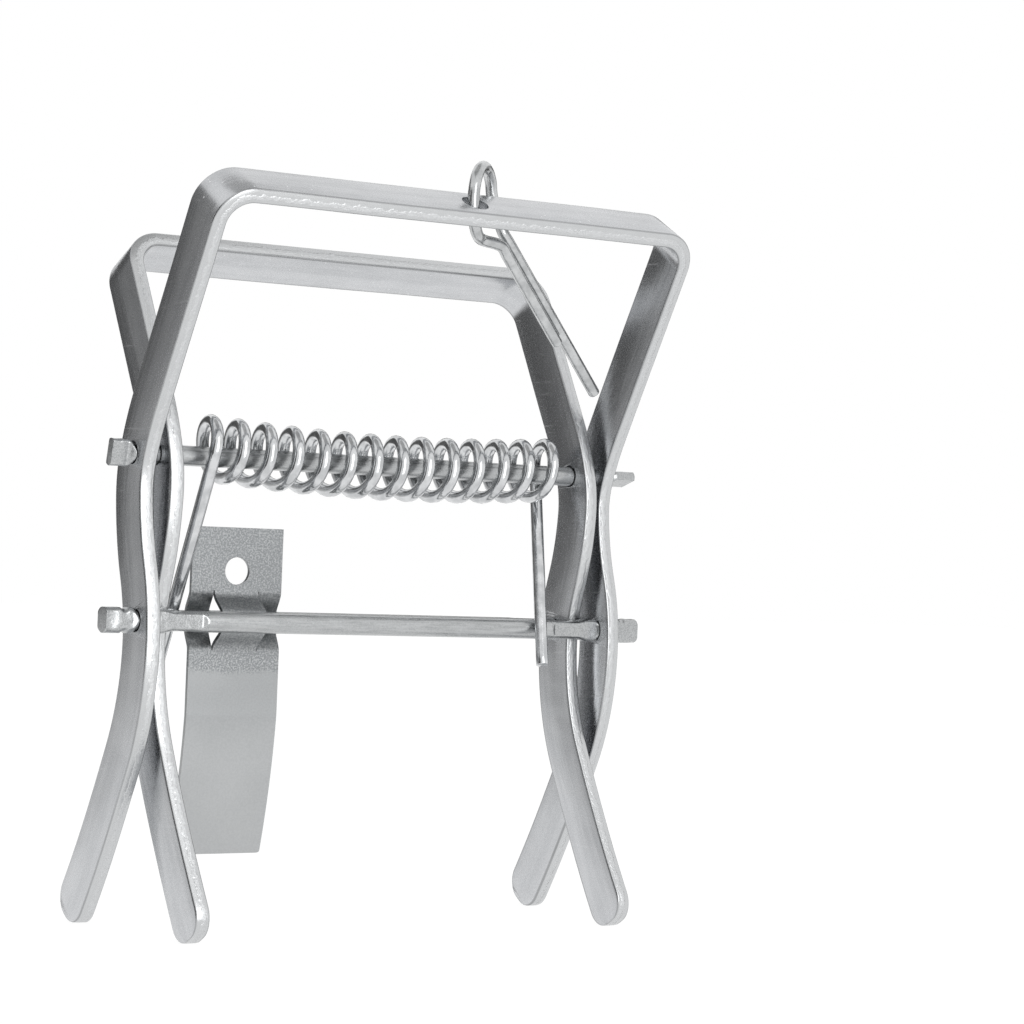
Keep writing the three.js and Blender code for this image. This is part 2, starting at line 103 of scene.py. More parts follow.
class Finish:  # a material or the world, while its nodes are made
    def __init__(self, name, world=None):
        self.holder = world or bpy.data.materials.new(name)
        self.holder.use_nodes = True
        self.tree = self.holder.node_tree
        self.tree.nodes.clear()

    def node(self, kind, settings, inputs, output=0):
        made = self.tree.nodes.new("ShaderNode" + kind)
        for key, value in settings.items():
            setattr(made, key, value)
        for key, value in inputs.items():
            if isinstance(value, Signal):
                self.tree.links.new(value.socket, made.inputs[key])
            else:
                made.inputs[key].default_value = value
        return Signal(self, made.outputs[output]) if made.outputs else None

    def place(self):  # object coordinates in millimetres
        raw = self.node("TexCoord", {}, {}, "Object")
        return self.node("VectorMath", {"operation": "SCALE"}, {0: raw, "Scale": 1 / mm})

    def attribute(self, name):
        return self.node("Attribute", {"attribute_name": name}, {}, "Fac")

    def height(self, place):
        return self.node("SeparateXYZ", {}, {0: place}, "Z")

    def flat(self, x, y):  # a place made from two numbers
        return self.node("CombineXYZ", {}, {"X": x, "Y": y, "Z": 0.0})

    def stretched(self, place, size, turn=(0, 0, 0)):
        return self.node("Mapping", {"vector_type": "POINT"},
                         {"Vector": place, "Scale": size, "Rotation": turn})

    def noise(self, place, scale, detail=2.0, roughness=0.5):
        return self.node("TexNoise", {}, {"Vector": place, "Scale": scale, "Detail": detail,
                                          "Roughness": roughness})

    def dots(self, place, scale, size, rarity):  # round dots in some of the cells of a pattern
        distance = self.node("TexVoronoi", {}, {"Vector": place, "Scale": scale})
        cellColour = Signal(self, distance.socket.node.outputs["Color"])
        number = self.node("SeparateColor", {}, {"Color": cellColour})
        return (1.0 - distance.ramp(*size)) * number.ramp(*rarity)

    def tint(self, value, under, over):  # a colour between two others
        return self.node("Mix", {"data_type": "RGBA"}, {0: value, 6: under, 7: over}, 2)

    def seen(self):  # 1 for what the camera sees straight, in metal or through glass
        kinds = ("Is Camera Ray", "Is Glossy Ray", "Is Transmission Ray")
        straight, glossy, through = [self.node("LightPath", {}, {}, kind) for kind in kinds]
        return straight.most(glossy).most(through)

    def surface(self, colour, roughness, height, bump):
        normal = self.node("Bump", {}, {"Height": height, "Strength": 1.0, "Distance": bump * mm})
        shader = self.node("BsdfPrincipled", {}, {"Base Color": colour, "Roughness": roughness,
                                                  "Metallic": 1.0, "Normal": normal})
        self.node("OutputMaterial", {}, {"Surface": shader})
        return self.holder


# Finishes, each with its colours, its least roughness and the depth of its bumps

fleckColour = (0.93, 0.94, 0.95, 1)
# painted shade: the dark colour laid along the bars' rounded corners
cornerShadeColour = (0.30, 0.305, 0.31, 1)
# a finish's corner values give where the painted corner shade begins and where it is full
looks = {
    "face": {"dark": (0.46, 0.47, 0.485, 1), "light": (0.66, 0.67, 0.685, 1), "rough": 0.2, "bump": 0.14,
             "fleckSize": (0.10, 0.18), "fleckRarity": (0.70, 0.76), "corner": (5.6, 6.1)},
    "edge": {"dark": (0.50, 0.51, 0.515, 1), "light": (0.66, 0.67, 0.68, 1), "rough": 0.22, "bump": 0.11,
             "seamStarts": (-1.3, -0.6), "seamEnds": (0.05, 0.5), "corner": (1.45, 1.75)},
    "rod": {"dark": (0.38, 0.39, 0.395, 1), "light": (0.54, 0.55, 0.555, 1), "rough": 0.22, "bump": 0.06},
    "hammered": {"dark": (0.38, 0.39, 0.395, 1), "light": (0.50, 0.51, 0.515, 1), "rough": 0.2,
                 "bump": 0.08},
    "spring": {"dark": (0.52, 0.53, 0.54, 1), "light": (0.68, 0.69, 0.70, 1), "rough": 0.11, "bump": 0.08,
               "dotSize": (0.05, 0.12), "dotRarity": (0.85, 0.9)},
    "wire": {"dark": (0.44, 0.45, 0.455, 1), "light": (0.62, 0.63, 0.635, 1), "rough": 0.16, "bump": 0.1},
    # the sheet's shaded heights are where its painted reflection fades out upward
    "sheet": {"dark": (0.24, 0.25, 0.257, 1), "light": (0.54, 0.55, 0.555, 1), "rough": 0.32, "bump": 0.08,
              "speckled": (64.0, 67.0), "fine": (66.0, 70.0), "shaded": (40.0, 60.0)},
}


def rolledFace(look):  # streaked along the bar, with fine grain, bright flecks and painted shade along its rounded corners
    f = Finish("zincRolledFace")
    place = f.place()
    across = f.attribute("acrossBar")
    streaks = f.noise(f.flat(f.attribute("alongBar") * 0.02, across * 0.22), 1.0, 3.0, 0.6)
    cloud = f.noise(place, 0.05, 3.0)
    grain = f.noise(place, 2.2, 3.0, 0.7)
    waves = f.noise(place, 0.11, 1.0)
    fleck = f.dots(place, 0.6, look["fleckSize"], look["fleckRarity"])
    scuffs = f.noise(f.stretched(place, (0.9, 0.06, 0.9), (0.5, 0.2, 0.9)), 1.0, 2.0)
    scuff = scuffs.ramp(0.68, 0.74)
    # painted shade along the rounded corners of the face
    corner = abs(across).ramp(*look["corner"])
    tone = cloud.ramp(0.35, 0.68) * 0.25 + streaks.ramp(0.35, 0.65) * 0.3
    tone = tone + grain.ramp(0.3, 0.7) * 0.45
    colour = f.tint(tone, look["dark"], look["light"])
    colour = f.tint(fleck * 0.9 + scuff * 0.25, colour, fleckColour)
    colour = f.tint(corner * (cloud * 0.8 + 0.3), colour, cornerShadeColour)
    rough = look["rough"] + grain * 0.12 + fleck * 0.4 + scuff * 0.12
    height = waves * 0.9 + streaks * 0.9 + grain * 0.07 + fleck * 0.1
    return f.surface(colour, rough, height, look["bump"])


def shearedEdge(look):  # smooth and faintly lined, with a torn seam along its inner part
    f = Finish("zincShearedEdge")
    place = f.place()
    through = f.attribute("throughBar")
    lines = f.noise(f.flat(f.attribute("alongBar") * 0.3, through * 2.4), 1.0, 3.0, 0.6)
    wander = f.noise(place, 0.5, 2.0, 0.6)
    specks = f.noise(place, 2.4, 3.0, 0.7)
    fine = f.noise(place, 2.2, 2.0)
    seam = through + wander * 1.8 - 0.9
    torn = seam.ramp(*look["seamStarts"]) * (1.0 - seam.ramp(*look["seamEnds"]))
    # painted shade along the rounded corners of the edge
    corner = abs(through).ramp(*look["corner"])
    tone = lines * 0.5 + 0.25 + specks.ramp(0.35, 0.65) * torn * 0.4
    colour = f.tint(tone, look["dark"], look["light"])
    colour = f.tint(corner * (wander * 0.8 + 0.3), colour, cornerShadeColour)
    rough = look["rough"] + lines * 0.1 + torn * 0.08
    height = lines * 0.25 + fine * 0.08 + specks * torn * 1.5
    return f.surface(colour, rough, height, look["bump"])


def drawnRod(look):  # streaked along the rod
    f = Finish("zincDrawnRod")
    place = f.place()
    streaks = f.noise(f.stretched(place, (0.12, 1.6, 1.6)), 1.0, 3.0, 0.6)
    grain = f.noise(place, 2.6, 2.0, 0.6)
    tone = streaks * 0.6 + grain * 0.4
    colour = f.tint(tone.ramp(0.3, 0.7), look["dark"], look["light"])
    return f.surface(colour, look["rough"] + streaks * 0.12, streaks * 0.4 + grain * 0.25, look["bump"])


def hammeredEnd(look):
    f = Finish("zincHammeredEnd")
    place = f.place()
    dents = f.noise(place, 0.6, 2.0)
    grain = f.noise(place, 2.8, 2.0, 0.6)
    colour = f.tint(grain.ramp(0.35, 0.65), look["dark"], look["light"])
    return f.surface(colour, look["rough"] + grain * 0.08, dents + grain * 0.06, look["bump"])


def brightSpring(look):  # cloudy, with a few small dark pits
    f = Finish("brightSpringWire")
    place = f.place()
    cloud = f.noise(place, 0.35, 2.0)
    pit = f.dots(place, 0.7, look["dotSize"], look["dotRarity"])
    colour = f.tint(cloud.ramp(0.3, 0.7) - pit * 0.4, look["dark"], look["light"])
    rough = look["rough"] + cloud * 0.08 + pit * 0.2
    return f.surface(colour, rough, cloud * 0.7 - pit * 0.15, look["bump"])


def brightCatch(look):
    f = Finish("brightCatchWire")
    place = f.place()
    cloud = f.noise(place, 0.3, 3.0, 0.6)
    grain = f.noise(place, 2.0, 2.0)
    colour = f.tint(cloud.ramp(0.3, 0.7), look["dark"], look["light"])
    return f.surface(colour, look["rough"] + grain * 0.12, cloud * 0.6 + grain * 0.12, look["bump"])


def spangledSheet(look):  # speckled down to just below the rod and smooth on the tongue, which is painted lighter as painted reflection
    f = Finish("zincSpangledSheet")
    place = f.place()
    height = f.height(place)
    wander = f.noise(place, 0.2, 2.0)
    grain = f.noise(place, 2.1, 3.0, 0.7)
    cloud = f.noise(place, 0.06, 2.0)
    speckled = (height + wander * 3.0).ramp(*look["speckled"])
    coarse = speckled * (1.0 - height.ramp(*look["fine"]))
    # painted reflection: the sheet is lighter below these heights
    paintedLighter = 1.0 - height.ramp(*look["shaded"])
    speckle = (grain.ramp(0.36, 0.64) - 0.5) * (speckled * 0.7 + 0.12 + coarse * 0.3)
    # the smooth tongue is painted lighter too, as painted reflection
    tone = speckle + cloud * 0.2 + 0.06 + (1.0 - speckled) * 0.29 + paintedLighter * 0.3
    colour = f.tint(tone, look["dark"], look["light"])
    bumps = grain * (speckled * 0.6 + 0.1 + coarse * 0.8) + cloud * 0.8
    return f.surface(colour, look["rough"] + grain * 0.1, bumps, look["bump"])


makers = {"face": rolledFace, "edge": shearedEdge, "rod": drawnRod, "hammered": hammeredEnd,
          "spring": brightSpring, "wire": brightCatch, "sheet": spangledSheet}
finishes = {key: make(looks[key]) for key, make in makers.items()}
print("finishes made")


# Shared making

def linked(name, data):
    made = bpy.data.objects.new(name, data)
    bpy.context.scene.collection.objects.link(made)
    return made


def meshObject(name, bm):
    mesh = bpy.data.meshes.new(name)
    bm.to_mesh(mesh)
    bm.free()
    return linked(name, mesh)


def finishPiece(name, bm, materials, body, node, smooth):
    bmesh.ops.remove_doubles(bm, verts=bm.verts, dist=mergeWithin * mm)
    bmesh.ops.recalc_face_normals(bm, faces=bm.faces)
    piece = meshObject(name, bm)
    for material in materials:
        piece.data.materials.append(finishes[material])
    softShade(piece, smooth)
    if body:
        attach(piece, body)
    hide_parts(node)
    print(name, len(piece.data.polygons), "faces")
    return piece


def softShade(piece, angle):
    piece.data.shade_smooth()
    piece.data.set_sharp_from_angle(angle=math.radians(angle))


def cutHoles(piece, holes):  # each hole is its middle, its axis, its diameter and the drill's length
    cutters = []
    for middle, axis, diameter, length in holes:
        bm = bmesh.new()
        turn = upright.rotation_difference(axis).to_matrix().to_4x4()
        radius = diameter / 2 * mm
        bmesh.ops.create_cone(bm, cap_ends=True, segments=drillSides, radius1=radius, radius2=radius,
                              depth=length * mm, matrix=Matrix.Translation(middle) @ turn)
        cutter = meshObject("drill", bm)
        modifier = piece.modifiers.new("drill", "BOOLEAN")
        modifier.object = cutter
        modifier.operation = "DIFFERENCE"
        modifier.solver = "EXACT"
        cutters.append(cutter)
    bpy.context.view_layer.update()
    graph = bpy.context.evaluated_depsgraph_get()
    cut = bpy.data.meshes.new_from_object(piece.evaluated_get(graph), depsgraph=graph)
    piece.modifiers.clear()
    piece.data = cut
    for cutter in cutters:
        bpy.data.objects.remove(cutter)


def pull(bm, ring, cent, axis, angle, steps, shift=zero):
    made = bmesh.ops.spin(bm, geom=ring, cent=cent, axis=axis, angle=angle, steps=steps,
                          dvec=shift / steps, use_duplicate=False)
    return made["geom_last"]


def pullStraight(bm, ring, shift, steps=1):
    return pull(bm, ring, zero, sideways, 0, steps, shift)


def ringVerts(ring):
    return [part for part in ring if isinstance(part, bmesh.types.BMVert)]


def ringMiddle(ring):
    verts = ringVerts(ring)
    return sum((v.co for v in verts), Vector()) / len(verts)


def capEnd(bm, ring):
    edges = [part for part in ring if isinstance(part, bmesh.types.BMEdge)]
    return bmesh.ops.contextual_create(bm, geom=edges)["faces"][0]


def roundEnd(bm, ring, rounding, segments):
    cap = capEnd(bm, ring)
    bmesh.ops.bevel(bm, geom=list(cap.edges), offset=rounding * mm, segments=segments, profile=0.5,
                    affect="EDGES", material=-1)


def mirrorHalf(bm):
    whole = bm.verts[:] + bm.edges[:] + bm.faces[:]
    bmesh.ops.mirror(bm, geom=whole, axis="X", merge_dist=near * mm)


def smoothShare(value, low, high):  # 0 below low, 1 above high, smooth between
    share = min(1.0, max(0.0, (value - low) / (high - low)))
    return share * share * (3 - 2 * share)


def clip(value, limit):
    return max(-limit, min(limit, value))


# Jaws, bent from flat bar

jawBar = {"width": 13.0, "thickness": 3.8, "cornerRadius": 10.0, "edgeRound": 0.45, "roundSegments": 3,
          "ridges": (0.35, -1.1), "slope": 0.18, "edgeBand": 1.5, "roundShare": 0.6,
          "waviness": 0.12, "waveScale": 0.035}
jawLeg = {"handle": 61.0, "tipRadius": 400.0, "tipRounding": 5.5, "lean": 28.8094,
          "crossingAlong": 73.0, "rodAlong": 115.9, "rodOutset": 0.35, "tipAlong": 198.3,
          "bends": [(-11.5, 68.0), (-21.0, 27.0), (-15.0, 72.0), (20.5, 53.0), (24.5, 66.0)]}
jawSteps = {"top": 16, "corner": 28, "handle": 14, "bendLength": 2.2, "bendLeast": 6, "tip": 8}
jawHoles = {"pivot": 5.8, "pivotRaise": 0.1, "rod": 5.8, "through": 160.0,
            "catch": 7.0, "catchOffset": 3.9, "catchThrough": 8.0}
outerJaw = {"outside": 70.9, "handleCut": 0.0, "facing": 1, "catch": True}
innerJaw = {"outside": 64.25, "handleCut": 14.0, "facing": -1, "catch": False}

halfThick = jawBar["thickness"] / 2
halfWide = jawBar["width"] / 2
outerInside = outerJaw["outside"] - jawBar["thickness"]
innerInside = innerJaw["outside"] - jawBar["thickness"]


def legRuns():  # length and turn of each stretch from the top bar down, the last longer than is used
    runs = [(jawLeg["handle"], 0.0)]
    for turn, radius in jawLeg["bends"]:
        angle = math.radians(turn)
        runs.append((abs(angle) * radius, angle))
    return [*runs, (jawLeg["tipRadius"], 1.0)]


def rawLegPoint(along):  # depth, height and heading of the leg's middle line before it leans
    y = z = heading = 0.0
    left = along
    for length, turn in legRuns():
        part = min(left, length)
        turned = heading + turn * part / length
        if turn == 0:
            y += part * math.sin(heading)
            z -= part * math.cos(heading)
        else:
            radius = length / turn
            y += radius * (math.cos(heading) - math.cos(turned))
            z -= radius * (math.sin(turned) - math.sin(heading))
        heading = turned
        left -= part
        if left <= 0:
            break
    return y, z, heading


def leaning(y, z):  # where a raw point comes to lie from the crossing, in millimetres
    crossingY, crossingZ, heading = rawLegPoint(jawLeg["crossingAlong"])
    lean = Matrix.Rotation(math.radians(jawLeg["lean"]), 3, "X")
    return lean @ Vector((0, y - crossingY, z - crossingZ))


def rodPlace(facing):  # a little outside the leg's middle line
    y, z, heading = rawLegPoint(jawLeg["rodAlong"])
    outset = jawLeg["rodOutset"]
    place = leaning(y - outset * math.cos(heading), z - outset * math.sin(heading))
    return Vector((0, place.y * facing, place.z))


outerRodPlace, innerRodPlace = rodPlace(1), rodPlace(-1)
catchHole = leaning(0, -halfThick) + sideways * jawHoles["catchOffset"]


def barSection(bm, layers, height):  # at the middle of the top bar, its edges sloping off outward
    along, across, through = layers
    corners = [(-1, -1), (1, -1), (1, 1), (-1, 1)]
    verts = [bm.verts.new(Vector((0, y * halfWide, z * halfThick + height)) * mm) for y, z in corners]
    bm.faces.new(verts)
    bmesh.ops.bevel(bm, geom=verts, offset=jawBar["edgeRound"] * mm, segments=jawBar["roundSegments"],
                    profile=0.5, affect="VERTICES", material=-1)
    bm.faces.remove(next(iter(bm.faces)))
    narrow = []
    for edge in bm.edges:
        across0, across1 = [v.co.y for v in edge.verts]
        if abs(across0 - across1) < mergeWithin * mm and edge.calc_length() > halfThick * mm:
            narrow.append(edge)
    made = bmesh.ops.subdivide_edges(bm, edges=narrow, cuts=2)
    upper, lower = jawBar["ridges"]
    for v in ringVerts(made["geom_inner"]):
        v.co.z = (height + (upper if v.co.z > height * mm else lower)) * mm
    for v in bm.verts:
        outward = v.co.z / mm - height - upper
        if outward > 0:
            v.co.y -= math.copysign(outward * jawBar["slope"], v.co.y) * mm
        v[along] = 0.0
        v[across] = v.co.y / mm
        v[through] = v.co.z / mm - height
    return list(bm.verts) + list(bm.edges)


def straightRun(direction, length, steps):
    return {"cent": zero, "axis": sideways, "angle": 0, "steps": steps, "length": length,
            "shift": direction * length * mm}


def bentRun(cent, axis, angle, steps, length):
    return {"cent": cent, "axis": axis, "angle": angle, "steps": steps, "length": length, "shift": zero}


def jawRuns(jaw):  # half of the bar, from the middle of the top to where the tip's rounding starts
    radius = jawBar["cornerRadius"]
    straight = jaw["outside"] - radius
    yield straightRun(sideways, straight, jawSteps["top"])
    low = jaw["handleCut"] + radius
    quarter = math.radians(90)
    corner = Vector((straight, 0, -low)) * mm
    yield bentRun(corner, deep, quarter, jawSteps["corner"], (radius - halfThick) * quarter)
    high = jawLeg["tipAlong"] - jawLeg["tipRounding"]
    ended = 0.0
    for length, turn in legRuns():
        begin, end = max(ended, low), min(ended + length, high)
        ended += length
        part = end - begin
        if part <= 0:
            continue
        y, z, heading = rawLegPoint(begin)
        if turn == 0:
            yield straightRun(-upright, part, jawSteps["handle"])
            continue
        radius = length / turn
        cent = Vector((0, y + radius * math.cos(heading), z + radius * math.sin(heading))) * mm
        steps = max(jawSteps["bendLeast"], math.ceil(part / jawSteps["bendLength"]))
        yield bentRun(cent, sideways, turn * part / length, steps, part)


def drawOn(bm, along, ring, travelled, run):  # draw the section on, and note its way along the bar
    before = set(bm.verts)
    start = ringMiddle(ring)
    cent, axis, angle, shift = run["cent"], run["axis"], run["angle"], run["shift"]
    ring = pull(bm, ring, cent, axis, angle, run["steps"], shift)
    for v in bm.verts:
        if v in before:
            continue
        if angle:
            arm, reach = start - cent, v.co - cent
            inPlane = reach - axis * axis.dot(reach)
            share = abs(math.atan2(axis.dot(arm.cross(reach)), arm.dot(inPlane)) / angle)
        else:
            share = (v.co - start).dot(shift) / shift.length_squared
        v[along] = travelled + run["length"] * share
    return ring, travelled + run["length"]


def roundTip(bm, along, ring, travelled, outside):  # short steps on, each one narrower
    size = jawLeg["tipRounding"]
    y, z, heading = rawLegPoint(jawLeg["tipAlong"] - size)
    ahead = Vector((0, math.sin(heading), -math.cos(heading)))
    start = Matrix.Translation(Vector((outside - halfThick, y, z)) * mm)
    start = start @ Matrix.Rotation(heading, 4, "X")
    turns = [math.pi / 2 * step / jawSteps["tip"] for step in range(jawSteps["tip"] + 1)]
    for before, after in zip(turns, turns[1:]):
        gone = size * (math.sin(after) - math.sin(before))
        ring, travelled = drawOn(bm, along, ring, travelled, straightRun(ahead, gone, 1))
        wide, narrow = [halfWide - size * (1 - math.cos(turn)) for turn in (before, after)]
        bmesh.ops.scale(bm, vec=(1, narrow / wide, 1), space=start.inverted(), verts=ringVerts(ring))
    capEnd(bm, ring)


def markEdges(bm, across, through):  # the narrow sides of the bar get the second finish
    flatPart = halfThick - jawBar["edgeRound"] * jawBar["roundShare"]
    for face in bm.faces:
        wide = sum(abs(v[across]) for v in face.verts) / len(face.verts)
        thick = sum(abs(v[through]) for v in face.verts) / len(face.verts)
        face.material_index = 1 if thick < flatPart and wide > halfWide - jawBar["edgeBand"] else 0


def seatJaw(bm, facing):  # lean the jaw, turn it to its side and give the bar its slight waviness
    y, z, heading = rawLegPoint(jawLeg["crossingAlong"])
    seat = Matrix.Translation(crossing) @ Matrix.Scale(facing, 4, deep)
    seat = seat @ Matrix.Rotation(math.radians(jawLeg["lean"]), 4, "X")
    seat = seat @ Matrix.Translation(-Vector((0, y, z)) * mm)
    bmesh.ops.transform(bm, matrix=seat, verts=bm.verts)
    patch = Vector((facing * 7, 3, 1))  # each jaw takes its own part of the noise
    for v in bm.verts:
        v.co += noise.noise_vector(v.co / mm * jawBar["waveScale"] + patch) * jawBar["waviness"] * mm


def drillJaw(piece, jaw):
    holes = jawHoles
    pivotHole = pivot + upright * holes["pivotRaise"] * mm
    rodHole = crossing + rodPlace(jaw["facing"]) * mm
    drills = [(pivotHole, sideways, holes["pivot"], holes["through"]),
              (rodHole, sideways, holes["rod"], holes["through"])]
    if jaw["catch"]:
        lean = math.radians(jawLeg["lean"])
        axis = Vector((0, -math.sin(lean), math.cos(lean)))
        drills.append((crossing + catchHole * mm, axis, holes["catch"], holes["catchThrough"]))
    cutHoles(piece, drills)
    softShade(piece, softBelow["bar"])


def makeJaw(name, jaw, body, node):
    bm = bmesh.new()
    layers = [bm.verts.layers.float.new(key) for key in ("alongBar", "acrossBar", "throughBar")]
    along, across, through = layers
    ring = barSection(bm, layers, -(jaw["handleCut"] + halfThick))
    travelled = 0.0
    for run in jawRuns(jaw):
        ring, travelled = drawOn(bm, along, ring, travelled, run)
    roundTip(bm, along, ring, travelled, jaw["outside"])
    mirrorHalf(bm)
    markEdges(bm, across, through)
    seatJaw(bm, jaw["facing"])
    piece = finishPiece(name, bm, ["face", "edge"], body, node, softBelow["bar"])
    drillJaw(piece, jaw)


makeJaw("outerJaw", outerJaw, "outer_jaw", "outer_frame")
makeJaw("innerJaw", innerJaw, "inner_jaw", "inner_frame")
print("jaws bent and drilled")


# Rods with hammered ends

rodMesh = {"sides": 56, "plainStep": 4.0, "hammeredStep": 0.35, "endSegments": 3}
rodDents = {"scale": 0.5, "depth": 0.05}
ear = {"length": 15.5, "clear": 0.4, "thin": 0.75, "thinRun": 1.6, "neck": 0.05, "neckRun": 4.0,
       "flare": 0.25, "flareRun": (6.5, 3.2), "back": 0.35, "backRun": 1.6, "dents": 0.5}
head = {"clear": 0.25, "run": 1.6, "thin": 0.3, "wide": 0.2, "tall": 0.29, "halfHeight": 3.15,
        "neck": 0.18, "neckIn": (2.6, 3.6), "neckOut": (3.8, 5.0), "dents": 1}
blade = {"clear": 0.25, "run": 2.6, "thin": 1.3, "wide": 0.36, "dents": 0.6, "tilts": {-1: 12, 1: 72}}


def hammerLowerRod(rod, x, y, z, side):  # flattened ears inside the leg, a hammered head outside it
    radius, inside, outside = rod["diameter"] / 2, rod["inside"], rod["outside"]
    start, end, headStart = inside - ear["length"], inside - ear["clear"], outside + head["clear"]
    if x < start or end < x < headStart:
        return y, z, 0
    if x <= end:
        flat = radius - ear["thin"] * smoothShare(x, start, start + ear["thinRun"])
        flareStart, flareEnd = [inside - run for run in ear["flareRun"]]
        neck = ear["neck"] * smoothShare(x, start, start + ear["neckRun"])
        flare = ear["flare"] * smoothShare(x, flareStart, flareEnd)
        back = 1 - ear["back"] * smoothShare(x, inside - ear["backRun"], end)
        return clip(y, flat), z * (1 + (flare - neck) * back), ear["dents"]
    swell = smoothShare(x, headStart, outside + head["run"])
    neckIn, neckOut = [smoothShare(x - outside, *head[key]) for key in ("neckIn", "neckOut")]
    neck = 1 - head["neck"] * neckIn * (1 - neckOut)
    wide = clip(y * (1 + head["wide"] * swell), radius - head["thin"] * swell)
    return wide, clip(z * (1 + head["tall"] * swell) * neck, head["halfHeight"]), head["dents"]


def hammerPivotRod(rod, x, y, z, side):  # a flat blade outside each leg, turned over by its own tilt
    start = rod["outside"] + blade["clear"]
    if x < start:
        return y, z, 0
    swell = smoothShare(x, start, rod["outside"] + blade["run"])
    tilt = math.radians(blade["tilts"][side])
    cosine, sine = math.cos(tilt), math.sin(tilt)
    thick = clip(y * cosine + z * sine, rod["diameter"] / 2 - blade["thin"] * swell)
    wide = (-y * sine + z * cosine) * (1 + blade["wide"] * swell)
    return thick * cosine - wide * sine, thick * sine + wide * cosine, blade["dents"]


def rodPlaces(rod):  # rings far apart on the plain stretch and close together on the hammered one
    places = [0.0]
    while places[-1] < rod["fineFrom"]:
        places.append(places[-1] + rodMesh["plainStep"])
    while places[-1] < rod["reach"] - near:
        places.append(min(places[-1] + rodMesh["hammeredStep"], rod["reach"]))
    return places


def makeRod(name, rod, body, node):
    bm = bmesh.new()
    middle = rod["middle"]
    radius = rod["diameter"] / 2 * mm
    across = Matrix.Translation(middle) @ Matrix.Rotation(math.radians(90), 4, "Y")
    bmesh.ops.create_circle(bm, segments=rodMesh["sides"], radius=radius, matrix=across)
    ring = bm.verts[:] + bm.edges[:]
    places = rodPlaces(rod)
    for before, after in zip(places, places[1:]):
        ring = pullStraight(bm, ring, sideways * (after - before) * mm)
    roundEnd(bm, ring, rod["endRound"], rodMesh["endSegments"])
    mirrorHalf(bm)
    for v in bm.verts:
        x = abs(v.co.x) / mm
        side = 1 if v.co.x > 0 else -1
        offset = (v.co - middle) / mm
        y, z, struck = rod["hammer"](rod, x, offset.y, offset.z, side)
        if struck:
            dent = noise.noise(Vector((x * side, y, z)) * rodDents["scale"] + middle / mm)
            y += y * dent * rodDents["depth"] * struck
            z += z * dent * rodDents["depth"] * struck
        beyond = max(0.0, x - rod["shiftFrom"]) / (rod["reach"] - rod["shiftFrom"])
        v.co = middle + Vector((offset.x + rod["shift"] * beyond, y, z)) * mm
    for face in bm.faces:
        x = abs(face.calc_center_median().x) / mm
        face.material_index = 1 if x > rod["hammeredFrom"] else 0
    finishPiece(name, bm, ["rod", "hammered"], body, node, softBelow["rod"])


outerRod = {"diameter": 5.2, "middle": crossing + outerRodPlace * mm, "reach": 79.8, "fineFrom": 48.0,
            "inside": outerInside, "outside": outerJaw["outside"], "hammeredFrom": 51.5,
            "shift": 0, "shiftFrom": 0, "endRound": 0.35, "hammer": hammerLowerRod}
innerRod = {"diameter": 5.2, "middle": crossing + innerRodPlace * mm, "reach": 66.8, "fineFrom": 40.0,
            "inside": innerInside, "outside": innerJaw["outside"], "hammeredFrom": 44.9,
            "shift": 0, "shiftFrom": 0, "endRound": 0.3, "hammer": hammerLowerRod}
pivotRod = {"diameter": 5.0, "middle": pivot, "reach": 78.4, "fineFrom": 64.0,
            "outside": outerJaw["outside"], "hammeredFrom": 71.0,
            "shift": 1.4, "shiftFrom": 68.0, "endRound": 0.3, "hammer": hammerPivotRod}
makeRod("outerRod", outerRod, "outer_jaw", "outer_rod")
makeRod("innerRod", innerRod, "inner_jaw", "inner_rod")
makeRod("pivotRod", pivotRod, "outer_jaw", "pivot_rod")
print("rods hammered")


# Torsion spring: a left-handed coil with a straight leg at each end

spring = {"wire": 3.2, "radius": 6.9, "turns": 13, "endTurns": 0.25,
          "rightInset": 8.45, "leftInset": 11.05, "rightLift": 1.4, "leftLift": 2.3,
          "middleDrop": 0.3, "rightLegIn": 5.5, "leftLegOut": 2.2,
          "rightBelow": 10.0, "leftBelow": 19.0, "bendRadius": 5.0, "endRound": 0.25,
          "sides": 18, "stepsPerTurn": 36, "stepInBend": 6, "legSteps": 24, "endSegments": 2}
springPitch = (2 * innerInside - spring["rightInset"] - spring["leftInset"]) / spring["turns"]
springTurns = spring["turns"] + 2 * spring["endTurns"]
springRight = innerInside - spring["rightInset"] + spring["endTurns"] * springPitch
springLeft = springRight - springTurns * springPitch


def wireRing(bm, middle, direction, radius, sides):
    turn = upright.rotation_difference(direction).to_matrix().to_4x4()
    place = Matrix.Translation(middle) @ turn
    bmesh.ops.create_circle(bm, segments=sides, radius=radius, matrix=place)
    return bm.verts[:] + bm.edges[:]


def bendWire(bm, ring, place, direction, wanted):  # a bend from one direction to another
    axis = direction.cross(wanted).normalized()
    angle = direction.angle(wanted)
    cent = place + axis.cross(direction) * spring["bendRadius"] * mm
    steps = max(3, math.ceil(math.degrees(angle) / spring["stepInBend"]))
    ring = pull(bm, ring, cent, axis, angle, steps)
    return ring, cent + Matrix.Rotation(angle, 3, axis) @ (place - cent)


def springLift(x):  # the coil's ends stand up and its middle hangs a little
    s = spring
    middle, half = (springRight + springLeft) / 2, (springRight - springLeft) / 2
    across = (x / mm - middle) / half
    evenly, aslant = (s["rightLift"] + s["leftLift"]) / 2, (s["rightLift"] - s["leftLift"]) / 2
    return ((evenly + s["middleDrop"]) * across * across + aslant * across - s["middleDrop"]) * mm


def springLeg(bm, ring, direction, foot, below):  # bend towards the rod, and on past it
    place = ringMiddle(ring)
    foot = crossing + foot * mm
    ring, place = bendWire(bm, ring, place, direction, (foot - place).normalized())
    onward = (foot - place).normalized() * ((foot - place).length + below * mm)
    ring = pullStraight(bm, ring, onward, spring["legSteps"])
    roundEnd(bm, ring, spring["endRound"], spring["endSegments"])


